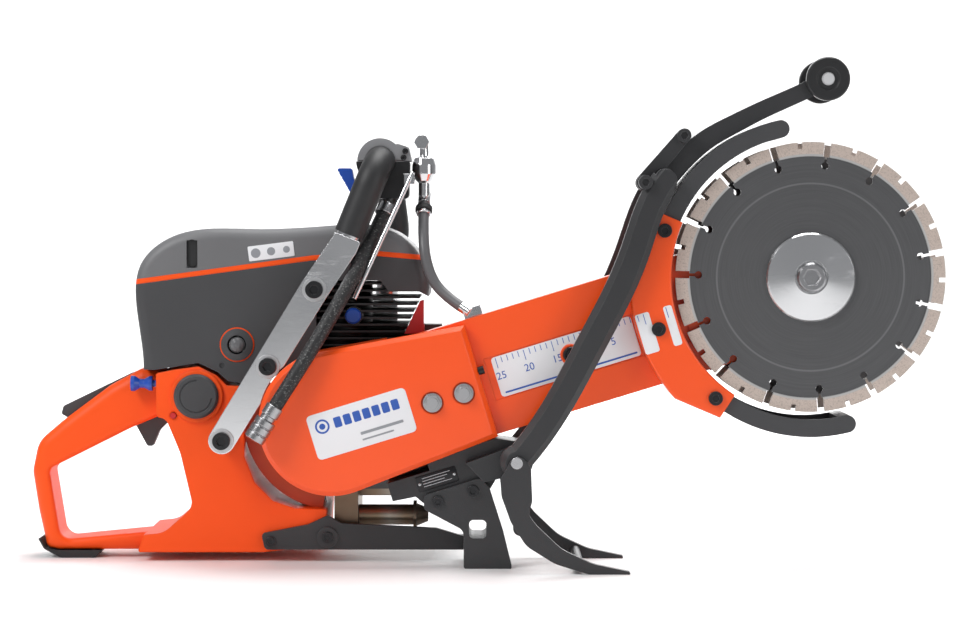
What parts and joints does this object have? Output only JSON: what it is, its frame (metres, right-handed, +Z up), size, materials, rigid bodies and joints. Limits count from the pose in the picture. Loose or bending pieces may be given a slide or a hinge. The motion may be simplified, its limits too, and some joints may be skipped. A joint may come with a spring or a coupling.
{
  "type": "rescue saw",
  "caption": "Petrol twin-blade rescue cutting saw with a belt-driven arm, swinging roller guard, rear tank handle, front hoop handle and water feed.",
  "frame": {"origin": "centre of the bounding box on the surface that the saw stands on", "axes": "+X forward along the cutting arm, +Y towards the starter side, +Z up"},
  "size_m": [0.7923, 0.248, 0.4365],
  "materials": {
    "orange_plastic": "gloss moulded",
    "orange_paint": "gloss powder coat",
    "cover_grey": "satin moulded",
    "cover_dark": "satin moulded",
    "black_cast": "black painted casting",
    "fin_black": "black painted",
    "cast_grey": "as cast",
    "polished": "polished",
    "blade_steel": "ground and lacquered",
    "bright_steel": "machined",
    "screw_steel": "zinc plated",
    "muffler_steel": "heat tinted",
    "chrome": "plated",
    "rubber": "matt",
    "grey_hose": "matt",
    "filter_foam": "paper element in a moulded frame",
    "blue_plastic": "gloss moulded",
    "red_plastic": "gloss",
    "clear_bulb": "clear",
    "label": null
  },
  "bodies": {
    "root": {"air_filter": "filter_foam", "arm_housing": "orange_paint", "arm_plate": "orange_paint", "bar_carrier": "black_cast", "belt_cover": "orange_paint", "blade_guard": "orange_paint", "carburettor": "cast_grey", "clutch_hub": "bright_steel", "cover_trim": "orange_plastic", "crankcase": "cast_grey", "crankshaft": "bright_steel", "cylinder_block": "fin_black", "drive_belt": "rubber", "flywheel": "cast_grey", "front_skid": "black_cast", "fuel_tank_handle": "orange_plastic", "handle_brackets": "polished", "handle_grip": "rubber", "handle_tube": "bright_steel", "heat_shield": "red_plastic", "hose_coupling": "chrome", "hose_fittings": "chrome", "inlet_hose": "rubber", "label_plates": "label", "lower_bracket": "black_cast", "mid_stand": "black_cast", "muffler": "muffler_steel", "outlet_hose": "grey_hose", "piston_and_rod": "bright_steel", "pivot_pin": "bright_steel", "purge_ring": "cover_dark", "rear_pad": "rubber", "screws": "screw_steel", "side_cover": "cover_dark", "spark_plug": "bright_steel", "spindle_bearings": "bright_steel", "splash_guards": "cover_dark", "starter_housing": "cast_grey", "top_cover": "cover_grey", "vibration_mounts": "rubber", "water_valve": "fin_black"},
    "blades": {"near_blade": "blade_steel", "far_blade": "blade_steel", "blade_flanges": "polished", "blade_spindle": "bright_steel", "driven_pulley": "bright_steel"},
    "drum": {"clutch_drum": "bright_steel"},
    "guard": {"guard_fork": "black_cast", "tip_arm": "black_cast"},
    "rollers": {"guard_rollers": "bright_steel"},
    "trigger": {"throttle_trigger": "cover_dark"},
    "lockout": {"throttle_lockout": "cover_dark"},
    "stop_switch": {"stop_button": "red_plastic"},
    "choke": {"choke_knob": "blue_plastic"},
    "cap": {"fuel_cap": "cover_dark"},
    "decompression": {"relief_button": "blue_plastic"},
    "purge": {"purge_bulb": "clear_bulb"},
    "valve_lever": {"valve_lever": "blue_plastic"},
    "starter_grip": {"starter_handle": "cover_dark"},
    "starter_wheel": {"cord_pulley": "cover_dark"}
  },
  "joints": [
    {"name": "blade_spin", "type": "hinge", "parent": "root", "child": "blades", "pos_m": [0.28134, -0.072, 0.24984], "axis": [0, 1, 0], "continuous": true},
    {"name": "drum_spin", "type": "hinge", "parent": "root", "child": "drum", "pos_m": [-0.127, -0.072, 0.125], "axis": [0, 1, 0], "continuous": true},
    {"name": "guard_swing", "type": "hinge", "parent": "root", "child": "guard", "pos_m": [0.031, -0.072, 0.094], "axis": [0, -1, 0], "range_deg": [0, 35], "stiffness_Nm_per_rad": 3, "springref_deg": -20.05},
    {"name": "roller_spin", "type": "hinge", "parent": "guard", "child": "rollers", "pos_m": [0.295, -0.072, 0.418], "axis": [0, 1, 0], "continuous": true},
    {"name": "trigger_pull", "type": "hinge", "parent": "root", "child": "trigger", "pos_m": [-0.283, -0.003, 0.127], "axis": [0, 1, 0], "range_deg": [0, 12], "stiffness_Nm_per_rad": 0.4, "springref_deg": -17.19},
    {"name": "lockout_press", "type": "hinge", "parent": "root", "child": "lockout", "pos_m": [-0.305, -0.003, 0.155], "axis": [0, -1, 0], "range_deg": [0, 4], "stiffness_Nm_per_rad": 2, "springref_deg": -5.73},
    {"name": "stop_press", "type": "slide", "parent": "root", "child": "stop_switch", "axis": [0, 1, 0], "range_m": [0, 0.0015], "stiffness_N_per_m": 300, "springref_m": -0.002},
    {"name": "choke_pull", "type": "slide", "parent": "root", "child": "choke", "axis": [-1, 0, 0], "range_m": [0, 0.008]},
    {"name": "cap_turn", "type": "hinge", "parent": "root", "child": "cap", "pos_m": [-0.2475, -0.045, 0.145], "axis": [0, 1, 0], "range_deg": [0, 90]},
    {"name": "decompression_press", "type": "slide", "parent": "root", "child": "decompression", "axis": [0, 1, 0], "range_m": [0, 0.0025], "stiffness_N_per_m": 400, "springref_m": -0.002},
    {"name": "purge_press", "type": "slide", "parent": "root", "child": "purge", "axis": [0, 1, 0], "range_m": [0, 0.004], "stiffness_N_per_m": 200, "springref_m": -0.002},
    {"name": "valve_turn", "type": "hinge", "parent": "root", "child": "valve_lever", "pos_m": [-0.1, -0.029, 0.327], "axis": [1, 0, 0], "range_deg": [0, 90]},
    {"name": "starter_pull", "type": "slide", "parent": "root", "child": "starter_grip", "axis": [-0.5736, 0, 0.8192], "range_m": [0, 0.1], "stiffness_N_per_m": 30, "springref_m": -0.1},
    {"name": "starter_turn", "type": "hinge", "parent": "root", "child": "starter_wheel", "pos_m": [-0.127, 0.092, 0.125], "axis": [0, 1, 0], "range_deg": [0, 225]}
  ],
  "couplings": [
    {"joint": "drum_spin", "follows": "blade_spin", "ratio": 1.8},
    {"joint": "starter_turn", "follows": "starter_pull", "rad_per_m": 38.462}
  ]
}
